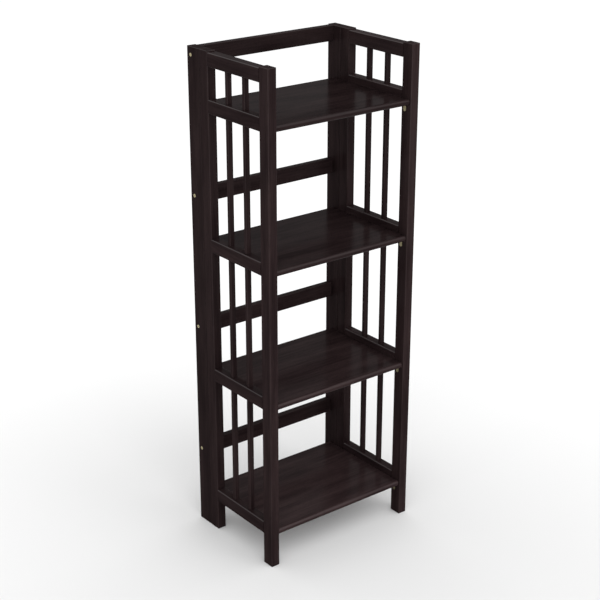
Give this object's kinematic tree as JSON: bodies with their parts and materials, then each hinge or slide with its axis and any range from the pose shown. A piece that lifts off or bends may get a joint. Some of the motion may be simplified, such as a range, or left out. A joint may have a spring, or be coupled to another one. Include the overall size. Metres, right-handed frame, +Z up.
{
  "type": "folding bookstand rack",
  "caption": "Tall narrow wooden rack with slatted side frames that hinge on a slatted back frame, and shelves that pivot up between the back posts.",
  "frame": {"origin": "on the floor, below the middle of the rack's bounding box", "axes": "+Z up, the open front faces -Y, +X to the right of a person who faces the front"},
  "size_m": [0.406, 0.286, 1.143],
  "materials": {
    "frame_wood": "espresso stain, satin lacquer",
    "shelf_wood": "espresso stain, satin lacquer",
    "brass_fittings": "polished",
    "pivot_pins": "bright zinc"
  },
  "bodies": {
    "frame": {"left_back_post": "frame_wood", "right_back_post": "frame_wood", "back_slat_1": "frame_wood", "back_slat_2": "frame_wood", "back_slat_3": "frame_wood", "back_slat_4": "frame_wood", "left_slat_screws": "brass_fittings", "right_slat_screws": "brass_fittings", "left_stile": "frame_wood", "left_leg": "frame_wood", "right_stile": "frame_wood", "right_leg": "frame_wood", "left_rail_1": "frame_wood", "left_rail_2": "frame_wood", "left_rail_3": "frame_wood", "left_rail_4": "frame_wood", "left_rail_5": "frame_wood", "left_front_bar_1": "frame_wood", "left_front_bar_2": "frame_wood", "left_front_bar_3": "frame_wood", "left_front_bar_4": "frame_wood", "left_rear_bar_1": "frame_wood", "left_rear_bar_2": "frame_wood", "left_rear_bar_3": "frame_wood", "left_rear_bar_4": "frame_wood", "right_rail_1": "frame_wood", "right_rail_2": "frame_wood", "right_rail_3": "frame_wood", "right_rail_4": "frame_wood", "right_rail_5": "frame_wood", "right_front_bar_1": "frame_wood", "right_front_bar_2": "frame_wood", "right_front_bar_3": "frame_wood", "right_front_bar_4": "frame_wood", "right_rear_bar_1": "frame_wood", "right_rear_bar_2": "frame_wood", "right_rear_bar_3": "frame_wood", "right_rear_bar_4": "frame_wood", "left_hinge_post_leaves": "brass_fittings", "left_hinge_stile_leaves": "brass_fittings", "left_hinge_pins": "brass_fittings", "left_hinge_screws": "brass_fittings", "left_shelf_rests": "brass_fittings", "right_hinge_post_leaves": "brass_fittings", "right_hinge_stile_leaves": "brass_fittings", "right_hinge_pins": "brass_fittings", "right_hinge_screws": "brass_fittings", "right_shelf_rests": "brass_fittings"},
    "top_shelf": {"shelf_1": "shelf_wood", "shelf_pins_1": "pivot_pins"},
    "upper_shelf": {"shelf_2": "shelf_wood", "shelf_pins_2": "pivot_pins"},
    "lower_shelf": {"shelf_3": "shelf_wood", "shelf_pins_3": "pivot_pins"},
    "bottom_shelf": {"shelf_4": "shelf_wood", "shelf_pins_4": "pivot_pins"}
  },
  "joints": [
    {"name": "top_shelf_fold", "type": "hinge", "parent": "frame", "child": "top_shelf", "pos_m": [0, 0.11, 1.016], "axis": [-1, 0, 0], "range_deg": [0, 92]},
    {"name": "upper_shelf_fold", "type": "hinge", "parent": "frame", "child": "upper_shelf", "pos_m": [0, 0.11, 0.70467], "axis": [-1, 0, 0], "range_deg": [0, 92]},
    {"name": "lower_shelf_fold", "type": "hinge", "parent": "frame", "child": "lower_shelf", "pos_m": [0, 0.11, 0.39333], "axis": [-1, 0, 0], "range_deg": [0, 92]},
    {"name": "bottom_shelf_fold", "type": "hinge", "parent": "frame", "child": "bottom_shelf", "pos_m": [0, 0.11, 0.082], "axis": [-1, 0, 0], "range_deg": [0, 92]}
  ]
}
